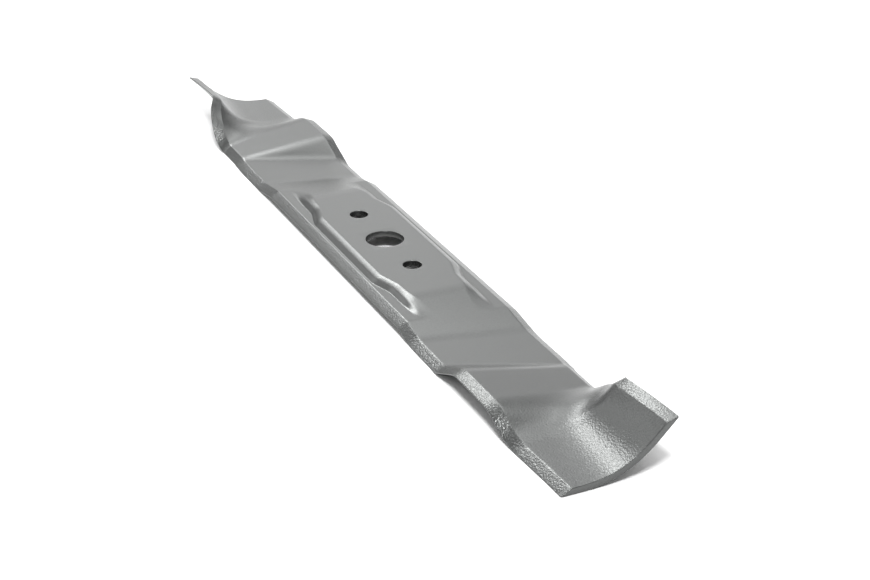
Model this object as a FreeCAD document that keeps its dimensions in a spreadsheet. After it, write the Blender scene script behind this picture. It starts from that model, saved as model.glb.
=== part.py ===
import FreeCAD, Part
import math
import os
import Sketcher

os.makedirs("parts", exist_ok=True)
doc = FreeCAD.newDocument("MowerBlade")

# Driving dimensions in millimetres and degrees.
# +X runs along the blade, +Z up along the bore, and the top of the hub is the plane z = 0.
# The arm on +X cuts with its -Y edge, and its +Y edge rises into the air-lift fin.
drivingSizes = [
    ("barWidth", 56.0, "width of the flat bar across its two ground edges"),
    ("plateThickness", 3.1, "thickness of the bar"),
    ("bevelRun", 4.6, "width of the bevel ground along both long edges"),
    ("edgeLand", 0.5, "blunt height left below the bevel"),
    ("cornerReach", 0.5, "how far the rounding reaches from the upper corner of the bevel"),
    ("boreDiameter", 18.5, "centre hole for the blade bolt"),
    ("pinDiameter", 9.0, "drive pin holes"),
    ("pinPitch", 65.0, "distance between the two drive pin holes"),
    ("hubLength", 68.0, "length of the hub with one unchanging section"),
    ("flangeDrop", 3.3, "step from the raised hub down to its side flanges"),
    ("foldRun", 5.2, "width of the fold between the raised hub and a flange"),
    ("foldBendTop", 4.2, "part of that width over which the hub rolls off"),
    ("foldBendFoot", 0.8, "part of that width over which the fold meets the flange"),
    ("foldEndRun", 9.0, "width of the fold where it fades out on the ramp"),
    ("foldFadeRun", 25.0, "length over which the fold widens past the waist"),
    ("flangeFlat", 0.8, "flat left between the fold and the bevel along the hub"),
    ("waistInset", 3.7, "how much further in the fold lies at the waist past the hub"),
    ("waistRun", 18.0, "length over which the fold moves in to the waist"),
    ("waistBend", 5.0, "rounding at both ends of that stretch"),
    ("plateauRun", 7.0, "length of the raised hub beyond the start of the waist"),
    ("rampRunLead", 37.0, "length of the ramp down to the arm at the cutting edge"),
    ("rampRunTrail", 50.0, "length of the same ramp at the trailing edge"),
    ("armDrop", 6.3, "step from the hub down to the arm"),
    ("creaseRun", 8.0, "length over which each crease of a ramp is rounded"),
    ("armRun", 17.0, "length of the low flat arm at the cutting edge"),
    ("archRampLead", 28.0, "length of the ramp up to the arch at the cutting edge"),
    ("archRampTrail", 5.0, "length of that wedge-shaped ramp at the trailing edge"),
    ("archCrestSkew", 3.0, "how much further out the crest lies at the trailing edge"),
    ("archTilt", 8.7, "slope of the arch across the bar, high at the cutting edge"),
    ("archHinge", 0.4, "trailing edge to the line about which the arch is tilted"),
    ("archRun", 26.6, "length of the arch at the cutting edge"),
    ("archEndLead", 3.8, "how much before the twist the arch's cutting edge starts to come down"),
    ("archEndRun", 29.8, "length over which the arch's cutting edge comes down"),
    ("archEndBend", 13.4, "rounding at both ends of that stretch"),
    ("twistStartSkew", 8.8, "how much nearer the hub the twist starts at the trailing edge"),
    ("twistRunLead", 22.2, "length of the twist into the tip at the cutting edge"),
    ("twistRunTrail", 36.4, "length of the twist at the trailing edge"),
    ("twistStartBendLead", 16.0, "rounding where the twist starts at the cutting edge"),
    ("twistStartBendTrail", 2.8, "rounding where the twist starts at the trailing edge"),
    ("twistEndBendLead", 6.2, "rounding where the twist ends at the cutting edge"),
    ("twistEndBendTrail", 7.8, "rounding where the twist ends at the trailing edge"),
    ("finLength", 37.5, "length of the tip past the twist at the cutting edge"),
    ("finRootAngle", 59.8, "how steeply the fin stands up where the twist ends"),
    ("finTipAngle", 45.8, "how steeply the fin stands up at the very tip"),
    ("troughRoot", 32.9, "cutting edge to the middle of the trough where the twist ends"),
    ("troughTip", 26.1, "cutting edge to the middle of the trough at the very tip"),
    ("troughRootWidth", 42.0, "width of the curved trough where the twist ends"),
    ("troughTipWidth", 46.4, "width of the curved trough at the very tip"),
    ("tipSway", 1.5, "how far the tip is swept towards its trailing edge"),
]

sheet = doc.addObject("Spreadsheet::Sheet", "sizes")
size = {}
for row, (alias, value, note) in enumerate(drivingSizes, start=1):
    sheet.set(f"A{row}", alias)
    sheet.set(f"B{row}", str(value))
    sheet.set(f"C{row}", note)
    sheet.setAlias(f"B{row}", alias)
doc.recompute()
for alias, value, note in drivingSizes:
    size[alias] = float(sheet.get(alias))

# Places along the blade, from the bore outwards, taken at the cutting edge.
halfWidth = size["barWidth"] / 2
hubEnd = size["hubLength"] / 2
waistEnd = hubEnd + size["waistRun"]
plateauEnd = waistEnd + size["plateauRun"]
rampEnd = plateauEnd + size["rampRunLead"]
archFoot = rampEnd + size["armRun"]
archCrest = archFoot + size["archRampLead"]
twistStart = archCrest + size["archRun"]
twistEnd = twistStart + size["twistRunLead"]
tipEnd = twistEnd + size["finLength"]


def ease(share):
    """A smooth step from 0 to 1."""
    share = min(max(share, 0.0), 1.0)
    return share * share * (3 - 2 * share)


def straightRise(distance, run, firstBend, lastBend):
    """A straight rise from 0 to 1 over a run, rounded over a bend at each end."""
    fitting = min(1.0, run / (firstBend + lastBend))
    firstBend *= fitting
    lastBend *= fitting
    steepness = 1 / (run - (firstBend + lastBend) / 2)
    if distance <= 0:
        return 0.0
    if distance < firstBend:
        return steepness * distance ** 2 / (2 * firstBend)
    if distance < run - lastBend:
        return steepness * (distance - firstBend / 2)
    if distance < run:
        return 1 - steepness * (run - distance) ** 2 / (2 * lastBend)
    return 1.0


def acrossBar(lead, trail, v):
    """A value that changes evenly from the cutting edge to the trailing edge."""
    return lead + (trail - lead) * (v + halfWidth) / size["barWidth"]


# The pressed form of the bar.
# v is measured across the flat bar before forming: -halfWidth is the cutting edge.
def armHeight(x, v):
    """Height of the hub and of the ramp down to the arm."""
    ramp = acrossBar(size["rampRunLead"], size["rampRunTrail"], v)
    crease = size["creaseRun"]
    return -size["armDrop"] * straightRise(x - plateauEnd, ramp, crease, crease)


def pressedHeight(x, v):
    """Height of the ramp, the arm and the arch, without the tip's own form."""
    crest = archCrest + acrossBar(0, size["archCrestSkew"], v)
    wedge = acrossBar(size["archRampLead"], size["archRampTrail"], v)
    rise = math.tan(math.radians(size["archTilt"])) * (halfWidth - size["archHinge"] - v)
    crease = size["creaseRun"]
    return armHeight(x, v) + rise * straightRise(x - crest + wedge, wedge, crease, crease)


def twistShare(x, v):
    """How far the section has turned from the arch, 0, into the tip, 1."""
    start = twistStart - acrossBar(0, size["twistStartSkew"], v)
    run = acrossBar(size["twistRunLead"], size["twistRunTrail"], v)
    startBend = acrossBar(size["twistStartBendLead"], size["twistStartBendTrail"], v)
    endBend = acrossBar(size["twistEndBendLead"], size["twistEndBendTrail"], v)
    return straightRise(x - start, run, startBend, endBend)


def tipSlope(x, v):
    """Slope across the tip: a flat, a curved trough and a straight fin."""
    trailEnd = twistStart - size["twistStartSkew"] + size["twistRunTrail"]
    finStart = acrossBar(twistEnd, trailEnd, v)
    share = min(max((x - finStart) / (tipEnd - finStart), 0.0), 1.0)
    angle, trough, width = [
        size[root] + (size[tip] - size[root]) * share
        for root, tip in (("finRootAngle", "finTipAngle"), ("troughRoot", "troughTip"),
                          ("troughRootWidth", "troughTipWidth"))
    ]
    return math.radians(angle) * ease((v + halfWidth - trough) / width + 0.5)


walkStep = 0.25


def acrossSection(x):
    """Walks across the upper face at x and returns points with their slopes."""
    count = int(math.ceil(size["barWidth"] / walkStep)) + 1
    endPlace = x - twistStart + size["archEndLead"]
    comeDown = straightRise(endPlace, size["archEndRun"], size["archEndBend"], size["archEndBend"])
    armLevel = armHeight(x, -halfWidth)
    y, z = 0.0, armLevel + (pressedHeight(x, -halfWidth) - armLevel) * (1 - comeDown)
    points = []
    for index in range(count + 1):
        v = -halfWidth + index * walkStep
        middle = v + walkStep / 2
        pressed = math.atan2(
            pressedHeight(x, middle) - pressedHeight(x, middle - walkStep), walkStep)
        share = twistShare(x, v)
        slope = (1 - share) * pressed + share * tipSlope(x, v)
        points.append([v, y, z, slope])
        y += walkStep * math.cos(slope)
        z += walkStep * math.sin(slope)
    middleIndex = int(round(halfWidth / walkStep))
    sway = size["tipSway"] * ease((x - twistStart) / (tipEnd - twistStart))
    shift = sway - points[middleIndex][1]
    for point in points:
        point[1] += shift
    return points


def readAt(points, v):
    """Reads y, z and slope between the walked points."""
    place = (v + halfWidth) / walkStep
    index = min(max(int(place), 0), len(points) - 2)
    share = place - index
    first, second = points[index], points[index + 1]
    return [first[k] + (second[k] - first[k]) * share for k in (1, 2, 3)]


class Section:
    """The outline of the formed bar at one place along its length."""

    def __init__(self, x):
        self.x = x
        self.points = acrossSection(x)
        self.before = acrossSection(x - walkStep)
        self.after = acrossSection(x + walkStep)
        waistBend = size["waistBend"]
        inset = size["waistInset"] * straightRise(x - hubEnd, size["waistRun"], waistBend, waistBend)
        self.foot = halfWidth - size["bevelRun"] - size["flangeFlat"] - inset
        widening = (size["foldEndRun"] - size["foldRun"]) * ease((x - waistEnd) / size["foldFadeRun"])
        self.foldRun = size["foldRun"] + widening
        self.crest = self.foot - self.foldRun
        steepRun = self.foldRun - (size["foldBendTop"] + size["foldBendFoot"]) / 2
        self.innerShift = size["plateThickness"] * math.tan(math.atan2(size["flangeDrop"], steepRun) / 2)

    def plate(self, v, depth, shift):
        """A point of the bar at a depth below the upper face, with its fold."""
        y, z, slope = readAt(self.points, v)
        sine, cosine = math.sin(slope), math.cos(slope)
        beforeY, beforeZ, _ = readAt(self.before, v)
        afterY, afterZ, _ = readAt(self.after, v)
        climb = ((afterZ - beforeZ) * cosine - (afterY - beforeY) * sine) / (2 * walkStep)
        depth = depth * math.sqrt(1 + climb * climb)
        drop = max(0.0, size["flangeDrop"] + armHeight(self.x, v))
        depth += drop * straightRise(
            abs(v) - self.crest + shift, self.foldRun, size["foldBendTop"], size["foldBendFoot"])
        return FreeCAD.Vector(y + depth * sine, z - depth * cosine, 0)

    def upper(self, v):
        return self.plate(v, 0.0, 0.0)

    def lower(self, v):
        return self.plate(v, size["plateThickness"], self.innerShift)

    def stretch(self, face, start, end, count, straight):
        """One stretch of the upper or lower outline."""
        if straight:
            return Part.LineSegment(face(start), face(end))
        shares = [index / count for index in range(count + 1)]
        points = [face(start + (end - start) * share) for share in shares]
        curve = Part.BSplineCurve()
        curve.interpolate(Points=points, Parameters=shares)
        return curve

    def edges(self, flatHub):
        """The closed outline. A flat hub has straight lines between its folds."""
        topLead = -halfWidth + size["bevelRun"]
        topTrail = halfWidth - size["bevelRun"]
        reach = size["cornerReach"]
        cornerLead, cornerTrail = self.upper(topLead), self.upper(topTrail)
        edgeLead, edgeTrail = self.lower(-halfWidth), self.lower(halfWidth)
        landLead = self.plate(-halfWidth, size["plateThickness"] - size["edgeLand"], 0)
        landTrail = self.plate(halfWidth, size["plateThickness"] - size["edgeLand"], 0)
        bevelLead = cornerLead + (landLead - cornerLead).normalize() * reach
        bevelTrail = cornerTrail + (landTrail - cornerTrail).normalize() * reach

        lowerCrest, lowerFoot = self.crest - self.innerShift, self.foot - self.innerShift
        lowerBreaks = [-halfWidth, -lowerFoot, -lowerCrest, lowerCrest, lowerFoot, halfWidth]
        upperBreaks = [topTrail - reach, self.foot, self.crest,
                       -self.crest, -self.foot, topLead + reach]
        stretches = [(2, flatHub), (6, False), (10, flatHub), (6, False), (2, flatHub)]
        edges = []
        for start, end, form in zip(lowerBreaks, lowerBreaks[1:], stretches):
            edges.append(self.stretch(self.lower, start, end, *form))
        edges.append(Part.LineSegment(edgeTrail, landTrail))
        edges.append(Part.LineSegment(landTrail, bevelTrail))
        edges.append(roundedCorner(bevelTrail, cornerTrail, self.upper(topTrail - reach)))
        for start, end, form in zip(upperBreaks, upperBreaks[1:], stretches):
            edges.append(self.stretch(self.upper, start, end, *form))
        edges.append(roundedCorner(self.upper(topLead + reach), cornerLead, bevelLead))
        edges.append(Part.LineSegment(bevelLead, landLead))
        edges.append(Part.LineSegment(landLead, edgeLead))
        return edges


def roundedCorner(start, corner, end):
    curve = Part.BSplineCurve()
    curve.buildFromPoles([start, corner, end], False, 2)
    return curve


def originFeature(body, role):
    return [item for item in body.Origin.OriginFeatures if item.Role == role][0]


def sectionSketch(body, name, x, expression, flatHub=False):
    sketch = body.newObject("Sketcher::SketchObject", name)
    sketch.AttachmentSupport = [(originFeature(body, "YZ_Plane"), "")]
    sketch.MapMode = "FlatFace"
    sketch.setExpression("AttachmentOffset.Base.z", expression)
    sketch.addGeometry(Section(x).edges(flatHub), False)
    return sketch


blade = doc.addObject("PartDesign::Body", "mowerBlade")
blade.Label = "mower_blade"
blade.Placement = FreeCAD.Placement()

# The hub: one section with a raised middle and a folded flange on each side.
hubSketch = sectionSketch(blade, "hubSection", 0.0, "0 mm", flatHub=True)
hub = blade.newObject("PartDesign::Pad", "hub")
hub.Profile = hubSketch
hub.Midplane = True
hub.setExpression("Length", "sizes.hubLength")
doc.recompute()

# The arm: sections from the hub's end to the tip, joined by one smooth loft.
# Each zone has its number of sections, and how much closer they lie at its start.
armZones = [
    ("waistRun", 5, 1.0), ("plateauRun", 2, 1.0), ("rampRunLead", 9, 1.0),
    ("armRun", 4, 1.0), ("archRampLead", 9, 1.0), ("archRun", 6, 1.0),
    ("twistRunLead", 9, 1.0), ("finLength", 10, 1.4),
]
zoneStart, startText = hubEnd, "sizes.hubLength / 2"
armSketches = [sectionSketch(blade, "armSection0", hubEnd, startText)]
for zone, count, spread in armZones:
    for index in range(1, count + 1):
        share = (index / count) ** spread
        name = f"armSection{len(armSketches)}"
        text = f"{startText} + sizes.{zone} * {share:.6f}"
        armSketches.append(sectionSketch(blade, name, zoneStart + size[zone] * share, text))
    zoneStart += size[zone]
    startText += f" + sizes.{zone}"
doc.recompute()
arm = blade.newObject("PartDesign::AdditiveLoft", "arm")
arm.Profile = armSketches[0]
arm.Sections = armSketches[1:]
arm.Ruled = False
doc.recompute()

# The second arm is the first one turned half a turn about the bore.
bothArms = blade.newObject("PartDesign::PolarPattern", "bothArms")
bothArms.Originals = [arm]
bothArms.Axis = (originFeature(blade, "Z_Axis"), [""])
bothArms.Angle = 360
bothArms.Occurrences = 2
blade.Tip = bothArms
doc.recompute()

# The centre bore and the two drive pin holes go straight through the raised hub.
holeSketch = blade.newObject("Sketcher::SketchObject", "holeSketch")
holeSketch.AttachmentSupport = [(originFeature(blade, "XY_Plane"), "")]
holeSketch.MapMode = "FlatFace"
pinPlace = size["pinPitch"] / 2
circles = [(0, size["boreDiameter"]), (pinPlace, size["pinDiameter"]), (-pinPlace, size["pinDiameter"])]
for place, diameter in circles:
    middle, upwards = FreeCAD.Vector(place, 0, 0), FreeCAD.Vector(0, 0, 1)
    holeSketch.addGeometry(Part.Circle(middle, upwards, diameter / 2), False)
# Circle 0 is the bore, 1 and 2 are the pin holes, and point 3 of a circle is its centre.
holeSketch.addConstraint(Sketcher.Constraint("Coincident", 0, 3, -1, 1))
holeSketch.addConstraint(Sketcher.Constraint("PointOnObject", 1, 3, -1))
holeSketch.addConstraint(Sketcher.Constraint("Symmetric", 2, 3, 1, 3, -1, 1))
holeSketch.addConstraint(Sketcher.Constraint("Equal", 2, 1))
bound = [
    (Sketcher.Constraint("Diameter", 0, size["boreDiameter"]), "boreDiameter"),
    (Sketcher.Constraint("Diameter", 1, size["pinDiameter"]), "pinDiameter"),
    (Sketcher.Constraint("DistanceX", 2, 3, 1, 3, size["pinPitch"]), "pinPitch"),
]
for constraint, alias in bound:
    index = holeSketch.addConstraint(constraint)
    holeSketch.setExpression(f"Constraints[{index}]", f"sizes.{alias}")
holes = blade.newObject("PartDesign::Pocket", "holes")
holes.Profile = holeSketch
holes.Type = "ThroughAll"
holes.Midplane = True
doc.recompute()

for item in doc.Objects:
    if "Invalid" in item.State or "Error" in item.State:
        raise RuntimeError(f"{item.Name} did not build: {item.State}")
if blade.Shape.isNull() or not blade.Shape.isValid():
    raise RuntimeError("the blade is not a valid solid")
box = blade.Shape.BoundBox
print(f"mower_blade {box.XLength:.1f} x {box.YLength:.1f} x {box.ZLength:.1f} mm,"
      f" volume {blade.Shape.Volume:.0f} mm3, solids {len(blade.Shape.Solids)}")
blade.Shape.exportStep("parts/mower_blade.step")
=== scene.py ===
import bpy
import bmesh
import math
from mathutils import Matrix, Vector


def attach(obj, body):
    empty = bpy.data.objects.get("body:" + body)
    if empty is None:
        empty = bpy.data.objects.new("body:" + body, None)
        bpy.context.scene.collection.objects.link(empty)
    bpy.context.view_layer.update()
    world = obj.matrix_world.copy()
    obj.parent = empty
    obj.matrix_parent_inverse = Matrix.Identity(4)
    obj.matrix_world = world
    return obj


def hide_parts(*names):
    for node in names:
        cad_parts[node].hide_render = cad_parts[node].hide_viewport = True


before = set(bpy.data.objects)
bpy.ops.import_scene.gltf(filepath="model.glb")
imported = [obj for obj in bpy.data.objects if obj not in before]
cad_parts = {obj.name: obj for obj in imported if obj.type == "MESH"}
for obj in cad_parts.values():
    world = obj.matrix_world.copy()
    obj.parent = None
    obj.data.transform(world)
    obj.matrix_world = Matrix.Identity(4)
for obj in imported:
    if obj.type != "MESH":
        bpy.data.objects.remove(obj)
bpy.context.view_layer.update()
print("frame loaded")

mm = 0.001

# The blade's sizes, in millimetres and degrees. They are the solid's own.
blade = {
    "barWidth": 56.0,
    "plateThickness": 3.1,
    "bevelRun": 4.6,
    "edgeLand": 0.5,
    "boreDiameter": 18.5,
    "pinDiameter": 9.0,
    "pinPitch": 65.0,
    "hubLength": 68.0,
    "flangeDrop": 3.3,
    "foldRun": 5.2,
    "foldBendTop": 4.2,
    "foldBendFoot": 0.8,
    "foldEndRun": 9.0,
    "foldFadeRun": 25.0,
    "flangeFlat": 0.8,
    "waistInset": 3.7,
    "waistRun": 18.0,
    "waistBend": 5.0,
    "plateauRun": 7.0,
    "rampRunLead": 37.0,
    "rampRunTrail": 50.0,
    "armDrop": 6.3,
    "creaseRun": 8.0,
    "armRun": 17.0,
    "archRampLead": 28.0,
    "archRampTrail": 5.0,
    "archCrestSkew": 3.0,
    "archTilt": 8.7,
    "archHinge": 0.4,
    "archRun": 26.6,
    "archEndLead": 3.8,
    "archEndRun": 29.8,
    "archEndBend": 13.4,
    "twistStartSkew": 8.8,
    "twistRunLead": 22.2,
    "twistRunTrail": 36.4,
    "twistStartBendLead": 16.0,
    "twistStartBendTrail": 2.8,
    "twistEndBendLead": 6.2,
    "twistEndBendTrail": 7.8,
    "finLength": 37.5,
    "finRootAngle": 59.8,
    "finTipAngle": 45.8,
    "troughRoot": 32.9,
    "troughTip": 26.1,
    "troughRootWidth": 42.0,
    "troughTipWidth": 46.4,
    "tipSway": 1.5,
}

# How the painted edges are rounded, and how close the mesh's lines lie, in millimetres, numbers
# of lines and shares.
bladeMesh = {
    "bevelCornerReach": 0.45,
    "landCornerReach": 0.16,
    "lowerCornerReach": 0.25,
    "cornerArm": 3.0,  # gives the side's first and last corner their direction
    "endRounding": 0.35,
    "tipCornerRadius": 1.0,
    "tipCornerCut": 0.75,
    "tipCornerLines": (0.8, 0.6),
    "holeRounding": 0.3,
    "holePatch": {"bore": 12, "pin": 6},
    "innerLines": 40,
    "foldLines": 16,
    "flangeLines": 4,
    "bevelLines": (0.3, 0.6),
    "roundingLines": 4,
    "alongStep": 1.0,
    "twistStep": 0.8,
    "fineBefore": 12.0,  # the finer lines start so far before the twist and end so far beyond it
    "fineBeyond": 6.0,
    "walkStep": 0.25,
}

# Slopes at shares of the fold's run, relative to one another: a gentle roll-off at the top, then
# the steep part and a tight foot. The top rolls off more gently than the solid's.
foldProfile = {
    "shares": (0.0, 0.14, 0.58, 0.74, 0.9, 1.0),
    "slopes": (0.0, 0.33, 0.58, 1.25, 1.25, 0.0),
}

halfWidth = blade["barWidth"] / 2
thickness = blade["plateThickness"]
hubEnd = blade["hubLength"] / 2
waistEnd = hubEnd + blade["waistRun"]
plateauEnd = waistEnd + blade["plateauRun"]
archFoot = plateauEnd + blade["rampRunLead"] + blade["armRun"]
archCrest = archFoot + blade["archRampLead"]
twistStart = archCrest + blade["archRun"]
twistEnd = twistStart + blade["twistRunLead"]
twistEndTrail = twistStart - blade["twistStartSkew"] + blade["twistRunTrail"]
tipEnd = twistEnd + blade["finLength"]


def placed(name, data):
    item = bpy.data.objects.new(name, data)
    bpy.context.scene.collection.objects.link(item)
    return item


def ease(share):
    share = min(max(share, 0.0), 1.0)
    return share * share * (3 - 2 * share)


def straightRise(distance, run, firstBend, lastBend):  # 0 to 1, straight, with rounded ends
    fitting = min(1.0, run / (firstBend + lastBend))
    firstBend *= fitting
    lastBend *= fitting
    steepness = 1 / (run - (firstBend + lastBend) / 2)
    if distance <= 0:
        return 0.0
    if distance < firstBend:
        return steepness * distance ** 2 / (2 * firstBend)
    if distance < run - lastBend:
        return steepness * (distance - firstBend / 2)
    if distance < run:
        return 1 - steepness * (run - distance) ** 2 / (2 * lastBend)
    return 1.0


def foldRise(share):  # 0 to 1 across the fold, from the slopes in its profile
    shares, slopes = foldProfile["shares"], foldProfile["slopes"]
    risen, whole = 0.0, 0.0
    for start, end, first, last in zip(shares, shares[1:], slopes, slopes[1:]):
        whole += (first + last) / 2 * (end - start)
        part = min(max((share - start) / (end - start), 0.0), 1.0)
        risen += (first + (last - first) * part / 2) * part * (end - start)
    return risen / whole


def acrossBar(lead, trail, across):
    return lead + (trail - lead) * (across + halfWidth) / blade["barWidth"]


def armHeight(x, across):
    ramp = acrossBar(blade["rampRunLead"], blade["rampRunTrail"], across)
    crease = blade["creaseRun"]
    return -blade["armDrop"] * straightRise(x - plateauEnd, ramp, crease, crease)


def pressedHeight(x, across):
    crest = archCrest + acrossBar(0, blade["archCrestSkew"], across)
    wedge = acrossBar(blade["archRampLead"], blade["archRampTrail"], across)
    rise = math.tan(math.radians(blade["archTilt"])) * (halfWidth - blade["archHinge"] - across)
    crease = blade["creaseRun"]
    return armHeight(x, across) + rise * straightRise(x - crest + wedge, wedge, crease, crease)


def twistShare(x, across):
    start = twistStart - acrossBar(0, blade["twistStartSkew"], across)
    run = acrossBar(blade["twistRunLead"], blade["twistRunTrail"], across)
    startBend = acrossBar(blade["twistStartBendLead"], blade["twistStartBendTrail"], across)
    endBend = acrossBar(blade["twistEndBendLead"], blade["twistEndBendTrail"], across)
    return straightRise(x - start, run, startBend, endBend)


def tipSlope(x, across):  # a flat beside the cutting edge, a trough and the fin
    finStart = acrossBar(twistEnd, twistEndTrail, across)
    share = min(max((x - finStart) / (tipEnd - finStart), 0.0), 1.0)
    angle = blade["finRootAngle"] + (blade["finTipAngle"] - blade["finRootAngle"]) * share
    trough = blade["troughRoot"] + (blade["troughTip"] - blade["troughRoot"]) * share
    width = blade["troughRootWidth"] + (blade["troughTipWidth"] - blade["troughRootWidth"]) * share
    return math.radians(angle) * ease((across + halfWidth - trough) / width + 0.5)


def walkAcross(x):  # points of the upper face at x with their slopes, from the cutting edge
    step = bladeMesh["walkStep"]
    bend = blade["archEndBend"]
    comeDown = straightRise(x - twistStart + blade["archEndLead"], blade["archEndRun"], bend, bend)
    armLevel = armHeight(x, -halfWidth)
    lift = pressedHeight(x, -halfWidth) - armLevel
    y, z = 0.0, armLevel + lift * (1 - comeDown)
    points = []
    for index in range(int(math.ceil(blade["barWidth"] / step)) + 2):  # one step past the far edge
        across = -halfWidth + index * step
        middle = across + step / 2
        pressed = math.atan2(pressedHeight(x, middle) - pressedHeight(x, middle - step), step)
        share = twistShare(x, across)
        slope = (1 - share) * pressed + share * tipSlope(x, across)
        points.append([y, z, slope])
        y += step * math.cos(slope)
        z += step * math.sin(slope)
    sway = blade["tipSway"] * ease((x - twistStart) / (tipEnd - twistStart))
    shift = sway - points[int(round(halfWidth / step))][0]
    return [(point[0] + shift, point[1], point[2]) for point in points]


def readAt(points, across):
    place = (across + halfWidth) / bladeMesh["walkStep"]
    index = min(max(int(place), 0), len(points) - 2)
    share = place - index
    first, second = points[index], points[index + 1]
    return [a + (b - a) * share for a, b in zip(first, second)]


def foldPlace(x):  # where the fold beside the raised hub begins and ends, and its shift below
    bend = blade["waistBend"]
    inset = blade["waistInset"] * straightRise(x - hubEnd, blade["waistRun"], bend, bend)
    foot = halfWidth - blade["bevelRun"] - blade["flangeFlat"] - inset
    fade = ease((x - waistEnd) / blade["foldFadeRun"])
    widening = (blade["foldEndRun"] - blade["foldRun"]) * fade
    run = blade["foldRun"] + widening
    steepRun = run - (blade["foldBendTop"] + blade["foldBendFoot"]) / 2
    shift = thickness * math.tan(math.atan2(blade["flangeDrop"], steepRun) / 2)
    return foot - run, foot, shift


class Slice:  # the formed bar at one place along its length
    def __init__(self, x):
        step = bladeMesh["walkStep"]
        self.x = x
        self.rows = [walkAcross(x - step), walkAcross(x), walkAcross(x + step)]
        self.crest, self.foot, self.shift = foldPlace(x)

    def point(self, across, depth):  # depth goes down from the upper face, square to it
        before, here, after = [readAt(row, across) for row in self.rows]
        y, z, slope = here
        sine, cosine = math.sin(slope), math.cos(slope)
        climb = (after[1] - before[1]) * cosine - (after[0] - before[0]) * sine
        climb /= 2 * bladeMesh["walkStep"]
        depthHere = depth * math.sqrt(1 + climb * climb)
        drop = max(0.0, blade["flangeDrop"] + armHeight(self.x, across))
        shift = self.shift * depth / thickness
        depthHere += drop * foldRise((abs(across) - self.crest + shift) / (self.foot - self.crest))
        return y + depthHere * sine, z - depthHere * cosine


def spread(start, end, count):  # even places after start, up to and with end
    return [start + (end - start) * index / count for index in range(1, count + 1)]


def roundedCorner(before, corner, after, reach):
    before, corner, after = Vector(before), Vector(corner), Vector(after)
    start = corner + (before - corner).normalized() * reach
    end = corner + (after - corner).normalized() * reach
    points = []
    for index in range(bladeMesh["roundingLines"] + 1):
        share = index / bladeMesh["roundingLines"]
        rest = 1 - share
        point = start * rest ** 2 + corner * 2 * share * rest + end * share ** 2
        points.append((point.x, point.y))
    return points


def quarterRound(reach):  # (before the wall, below the face), from the face round to the wall
    count = bladeMesh["roundingLines"]
    turns = [math.radians(90) * index / count for index in range(count + 1)]
    return [(reach * (1 - math.sin(turn)), reach * (1 - math.cos(turn))) for turn in turns]


def edgeSide(inset, cut):
    # (across, depth) from the upper face round the trailing edge to the lower one, with the
    # outline moved inwards by inset and the edge cut back further by cut
    run, fall = blade["bevelRun"], thickness - blade["edgeLand"]
    slant = math.hypot(run, fall)
    top = halfWidth - run - inset * fall / slant + (inset - inset * run / slant) * run / fall
    edge = halfWidth - inset - cut
    land = inset + (edge - top) * fall / run
    lower = thickness - inset
    arm = bladeMesh["cornerArm"]
    corners = [(top - arm, inset), (top, inset), (edge, land), (edge, lower), (edge - arm, lower)]
    bevelCorner = roundedCorner(*corners[:3], bladeMesh["bevelCornerReach"])
    landCorner = roundedCorner(*corners[1:4], bladeMesh["landCornerReach"])
    lowerCorner = roundedCorner(*corners[2:], bladeMesh["lowerCornerReach"])
    start, depth = bevelCorner[-1]
    bevel = [(start + (edge - start) * share, depth + (land - depth) * share)
             for share in bladeMesh["bevelLines"]]
    return bevelCorner + bevel + landCorner + lowerCorner


def faceLines(outer, crest, foot):  # lines across one face, between outer and -outer
    lines = spread(outer, foot, bladeMesh["flangeLines"])
    lines += spread(foot, crest, bladeMesh["foldLines"])
    lines += spread(crest, -crest, bladeMesh["innerLines"])
    lines += spread(-crest, -foot, bladeMesh["foldLines"])
    lines += spread(-foot, -outer, bladeMesh["flangeLines"])
    return lines[:-1]


def outline(x, inset, cut):  # (across, depth) all the way round one slice
    crest, foot, shift = foldPlace(x)
    side = edgeSide(inset, cut)
    upper = faceLines(side[0][0], crest, foot)
    lower = faceLines(side[-1][0], crest - shift, foot - shift)
    points = side + [(across, thickness - inset) for across in lower]
    points += [(-across, depth) for across, depth in reversed(side)]
    points += [(-across, inset) for across in upper]
    return points


def alongPlaces():  # (x, inset, cut) from the bore to the tip
    radius = bladeMesh["tipCornerRadius"]
    fineStart = twistStart - bladeMesh["fineBefore"]
    fineEnd = twistEndTrail + bladeMesh["fineBeyond"]
    cornerStart = tipEnd - radius
    alongStep = bladeMesh["alongStep"]
    places = [0.0] + spread(0, fineStart, int(fineStart / alongStep))
    places += spread(fineStart, fineEnd, int((fineEnd - fineStart) / bladeMesh["twistStep"]))
    places += spread(fineEnd, cornerStart, int((tipEnd - twistEndTrail) / alongStep))
    places += [tipEnd - radius * share for share in bladeMesh["tipCornerLines"]]
    rows = [(x, 0.0) for x in places]
    rows += [(tipEnd - before, below) for before, below in quarterRound(bladeMesh["endRounding"])]
    result = []
    for x, inset in rows:
        beyond = max(0.0, x - cornerStart)
        cut = radius - math.sqrt(max(0.0, radius ** 2 - beyond ** 2))
        result.append((x, inset, min(cut, bladeMesh["tipCornerCut"] * radius)))
    return result


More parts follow.
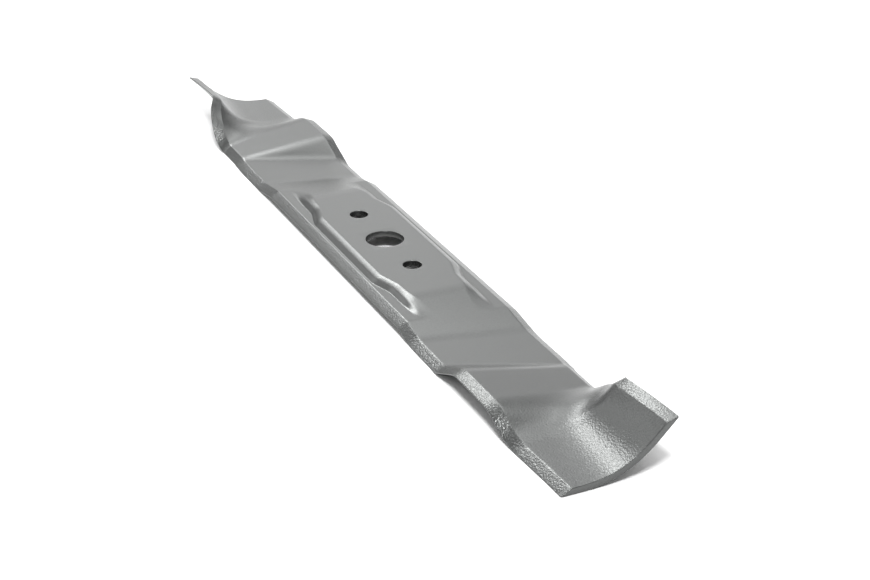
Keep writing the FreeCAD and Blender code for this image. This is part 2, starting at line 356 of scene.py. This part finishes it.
def makeBlade():
    body = bmesh.new()
    loops = []
    for x, inset, cut in alongPlaces():
        piece = Slice(x)
        loops.append([(x, *piece.point(across, depth)) for across, depth in outline(x, inset, cut)])
    count = len(loops[0])
    sideCount = len(edgeSide(0.0, 0.0))
    upperStart = sideCount + count // 2
    # the far arm is this one turned half a turn about the bore, with its points in the other order
    order = [*reversed(range(upperStart)), *reversed(range(upperStart, count))]
    farLoops = [[(-loop[k][0], -loop[k][1], loop[k][2]) for k in order] for loop in loops[:0:-1]]
    allLoops = farLoops + loops
    rings = [[body.verts.new(Vector(point) * mm) for point in loop] for loop in allLoops]

    def bridge(first, second):  # faces between two closed rings of as many points
        for k in range(len(first)):
            n = (k + 1) % len(first)
            body.faces.new((first[k], first[n], second[n], second[k]))

    for first, second in zip(rings, rings[1:]):
        bridge(first, second)
    # each end face is closed by a strip of small faces from the upper outline to the lower one
    edgeMiddle = sideCount // 2
    for ring in (rings[-1], rings[0]):
        for k in range(count // 2):
            corners = [(edgeMiddle + k) % count, (edgeMiddle + k + 1) % count,
                       (edgeMiddle - k - 1) % count, (edgeMiddle - k) % count]
            body.faces.new([ring[corner] for corner in dict.fromkeys(corners)])

    toMiddle = bladeMesh["flangeLines"] + bladeMesh["foldLines"] - 1 + bladeMesh["innerLines"] // 2

    def hole(centre, radius, patch):
        # cuts a square patch out of both faces and leads its rim to a round hole
        def angleAt(vert):
            return math.atan2(vert.co.y, vert.co.x - centre * mm) % (2 * math.pi)

        near = min(range(len(rings)), key=lambda i: abs(allLoops[i][0][0] - centre))
        first, last = near - patch, near + patch
        steps = range(2 * patch)
        rims, doomed = [], []
        for start in (upperStart, sideCount):
            low, high = start + toMiddle - patch, start + toMiddle + patch
            rim = [rings[first + k][low] for k in steps] + [rings[last][low + k] for k in steps]
            rim += [rings[last - k][high] for k in steps] + [rings[first][high - k] for k in steps]
            rims.append(sorted(rim, key=angleAt))  # in turn, so the wall joins point to point
            doomed += [rings[i][k] for i in range(first + 1, last) for k in range(low + 1, high)]
        bmesh.ops.delete(body, geom=doomed, context="VERTS")
        rounding = quarterRound(bladeMesh["holeRounding"])
        profile = [(radius + before, below) for before, below in rounding]
        profile += [(r, thickness - depth) for r, depth in reversed(profile)]
        previous, lowerRim = rims
        turns = [angleAt(vert) for vert in previous]
        for r, depth in profile:
            points = [(centre + r * math.cos(turn), r * math.sin(turn), -depth) for turn in turns]
            ring = [body.verts.new(Vector(point) * mm) for point in points]
            bridge(previous, ring)
            previous = ring
        bridge(previous, lowerRim)

    hole(0.0, blade["boreDiameter"] / 2, bladeMesh["holePatch"]["bore"])
    for side in (-1, 1):
        hole(side * blade["pinPitch"] / 2, blade["pinDiameter"] / 2, bladeMesh["holePatch"]["pin"])
    bmesh.ops.recalc_face_normals(body, faces=body.faces)
    mesh = bpy.data.meshes.new("pressedBlade")
    body.to_mesh(mesh)
    body.free()
    mesh.shade_smooth()
    return placed("pressedBlade", mesh)


pressedBlade = makeBlade()
print("blade formed:", len(pressedBlade.data.polygons), "faces")

# Hammered silver-grey paint, coarser on the ground edges and towards the tips. Sizes, depths and
# the places where the grain grows coarser are in millimetres.
paint = {
    "colour": (0.122, 0.1255, 0.1237),
    "colourChange": 0.06,
    "metallic": 0.9,
    "roughness": (0.28, 0.36),
    "pebbleSize": 0.9,
    "pebbleSmoothness": 0.7,
    "pebbleShare": 0.4,
    "grainSize": 0.8,
    "grainDetail": 2.0,
    "grainSpan": (0.3, 0.7),  # of the grain's own height
    "hammerDepth": 0.19,
    "smoothShare": 0.025,
    "tipShare": 0.72,
    "hubEdgeShare": 0.42,
    "tipGrain": (150.0, 195.0),
    "edgeGrain": (22.6, 24.0),
    "armEdgeGrain": (50.0, 110.0),
    "waveSize": 9.0,
    "waveDetail": 1.0,
    "waveDepth": 0.03,
    "waveStrength": 0.5,
}


def hammeredPaint():
    material = bpy.data.materials.new("hammeredPaint")
    material.use_nodes = True
    nodes, links = material.node_tree.nodes, material.node_tree.links
    shader = nodes["Principled BSDF"]
    place = nodes.new("ShaderNodeTexCoord").outputs["Object"]

    def noise(size, detail):
        node = nodes.new("ShaderNodeTexNoise")
        node.inputs["Scale"].default_value = 1 / (size * mm)
        node.inputs["Detail"].default_value = detail
        links.new(place, node.inputs["Vector"])
        return node.outputs["Fac"]

    def calculate(operation, first, second, third=None):
        node = nodes.new("ShaderNodeMath")
        node.operation = operation
        for socket, value in zip(node.inputs, (first, second, third)):
            if isinstance(value, (int, float)):
                socket.default_value = value
            elif value is not None:
                links.new(value, socket)
        return node.outputs[0]

    def stretchTo(value, span, low, high):
        node = nodes.new("ShaderNodeMapRange")
        node.interpolation_type = "SMOOTHSTEP"
        node.inputs["From Min"].default_value, node.inputs["From Max"].default_value = span
        node.inputs["To Min"].default_value, node.inputs["To Max"].default_value = low, high
        links.new(value, node.inputs["Value"])
        return node.outputs["Result"]

    def bump(height, depth, strength, normal=None):
        node = nodes.new("ShaderNodeBump")
        node.inputs["Distance"].default_value = depth * mm
        links.new(height, node.inputs["Height"])
        if isinstance(strength, float):
            node.inputs["Strength"].default_value = strength
        else:
            links.new(strength, node.inputs["Strength"])
        if normal:
            links.new(normal, node.inputs["Normal"])
        return node.outputs["Normal"]

    # pebbles and a finer grain between them
    pebbles = nodes.new("ShaderNodeTexVoronoi")
    pebbles.feature = "SMOOTH_F1"
    pebbles.inputs["Scale"].default_value = 1 / (paint["pebbleSize"] * mm)
    pebbles.inputs["Smoothness"].default_value = paint["pebbleSmoothness"]
    links.new(place, pebbles.inputs["Vector"])
    grain = noise(paint["grainSize"], paint["grainDetail"])
    height = calculate("MULTIPLY_ADD", pebbles.outputs["Distance"], -paint["pebbleShare"], grain)

    # how coarse the grain is: by the distance from the bore and from the middle line
    axes = nodes.new("ShaderNodeSeparateXYZ")
    links.new(place, axes.inputs[0])
    tipSpan, edgeSpan, armSpan = [[limit * mm for limit in paint[name]]
                                  for name in ("tipGrain", "edgeGrain", "armEdgeGrain")]
    along = calculate("ABSOLUTE", axes.outputs["X"], 0.0)
    towardsTip = stretchTo(along, tipSpan, paint["smoothShare"], paint["tipShare"])
    across = calculate("ABSOLUTE", axes.outputs["Y"], 0.0)
    towardsEdge = stretchTo(across, edgeSpan, 0.0, 1.0)
    alongEdge = stretchTo(along, armSpan, paint["hubEdgeShare"], 1.0)
    coarseEdge = calculate("MULTIPLY", towardsEdge, alongEdge)
    coarseness = calculate("MAXIMUM", towardsTip, coarseEdge)

    waveHeight = noise(paint["waveSize"], paint["waveDetail"])
    waves = bump(waveHeight, paint["waveDepth"], paint["waveStrength"])
    hammered = bump(height, paint["hammerDepth"], coarseness, waves)
    links.new(hammered, shader.inputs["Normal"])

    roughness = stretchTo(grain, paint["grainSpan"], *paint["roughness"])
    links.new(roughness, shader.inputs["Roughness"])
    tone = nodes.new("ShaderNodeValToRGB")
    for element, position, factor in zip(tone.color_ramp.elements, paint["grainSpan"], (-1, 1)):
        element.position = position
        change = 1 + factor * paint["colourChange"]
        element.color = (*[change * part for part in paint["colour"]], 1)
    links.new(grain, tone.inputs["Fac"])
    links.new(tone.outputs["Color"], shader.inputs["Base Color"])
    shader.inputs["Metallic"].default_value = paint["metallic"]
    return material


pressedBlade.data.materials.append(hammeredPaint())
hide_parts("mower_blade")
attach(pressedBlade, "root")
print("paint on")

# The floor and the light all round. Metres.
studio = {
    "floorSize": 8.0,
    "floorColour": (0.9, 0.9, 0.9),
    "floorRoughness": 0.9,
    "floorSpecular": 0.1,
    "worldColour": (1.0, 1.0, 1.0),
    "worldStrength": 0.47,
    "lightDistance": 2.0,
}

lowest = min(vertex.co.z for vertex in pressedBlade.data.vertices)
reach = studio["floorSize"] / 2
floorCorners = [(-reach, -reach, lowest), (reach, -reach, lowest),
                (reach, reach, lowest), (-reach, reach, lowest)]
floorMesh = bpy.data.meshes.new("floor")
floorMesh.from_pydata(floorCorners, [], [(0, 1, 2, 3)])
floor = placed("floor", floorMesh)
floorPaper = bpy.data.materials.new("floorPaper")
floorPaper.use_nodes = True
floorShader = floorPaper.node_tree.nodes["Principled BSDF"]
floorShader.inputs["Base Color"].default_value = (*studio["floorColour"], 1)
floorShader.inputs["Roughness"].default_value = studio["floorRoughness"]
floorShader.inputs["Specular IOR Level"].default_value = studio["floorSpecular"]
floorMesh.materials.append(floorPaper)

world = bpy.data.worlds.new("studio")
world.use_nodes = True
background = world.node_tree.nodes["Background"]
background.inputs["Color"].default_value = (*studio["worldColour"], 1)
background.inputs["Strength"].default_value = studio["worldStrength"]
bpy.context.scene.world = world

# Round softboxes: the direction from the blade in degrees (azimuth from +X towards +Y), the size
# in metres and the power in watts.
softboxes = {
    "frontKey": {"azimuth": 337, "elevation": 62, "size": 0.5, "power": 35.0},
    "behindLeft": {"azimuth": 184, "elevation": 46, "size": 0.65, "power": 11.2},
    "behindHigh": {"azimuth": 155, "elevation": 60, "size": 1.0, "power": 5.7},
    "backLow": {"azimuth": 133, "elevation": 6, "size": 0.9, "power": 3.4},
    "behindLeftLow": {"azimuth": 182, "elevation": 36, "size": 0.6, "power": 3.9},
    "backHigh": {"azimuth": 120, "elevation": 60, "size": 1.0, "power": 4.7},
    "leftLow": {"azimuth": 222, "elevation": 22, "size": 0.9, "power": 3.2},
    "behindLow": {"azimuth": 155, "elevation": 6, "size": 0.9, "power": 1.8},
    "left": {"azimuth": 208, "elevation": 36, "size": 0.9, "power": 1.4},
    "backStrip": {"azimuth": 146, "elevation": 36, "size": 0.8, "power": 1.35},
    "behind": {"azimuth": 164, "elevation": 26, "size": 0.8, "power": 1.4},
    "backSmall": {"azimuth": 152, "elevation": 26, "size": 0.8, "power": 0.76},
}


def lookAlong(item, direction):
    item.rotation_mode = "QUATERNION"
    item.rotation_quaternion = direction.to_track_quat("-Z", "Y")


def softbox(name, azimuth, elevation, size, power):
    light = bpy.data.lights.new(name, "AREA")
    light.shape = "DISK"
    light.size = size
    light.energy = power
    lamp = placed(name, light)
    turn, climb = math.radians(azimuth), math.radians(elevation)
    level = math.cos(climb)
    direction = Vector((level * math.cos(turn), level * math.sin(turn), math.sin(climb)))
    lamp.location = direction * studio["lightDistance"]
    lookAlong(lamp, -direction)


for name, facts in softboxes.items():
    softbox(name, **facts)
print("studio lit")

# The photograph's viewpoint. The image is 870 x 580.
view = {
    "place": (0.73216, -0.31164, 0.35965),
    "target": (0.06174, -0.00178, 0.0),
    "lens": 74.6,
    "sensorWidth": 36.0,
}

cameraData = bpy.data.cameras.new("camera")
cameraData.lens = view["lens"]
cameraData.sensor_width = view["sensorWidth"]
camera = placed("camera", cameraData)
camera.location = view["place"]
lookAlong(camera, Vector(view["target"]) - Vector(view["place"]))
bpy.context.scene.camera = camera
bpy.context.scene.view_settings.view_transform = "Standard"
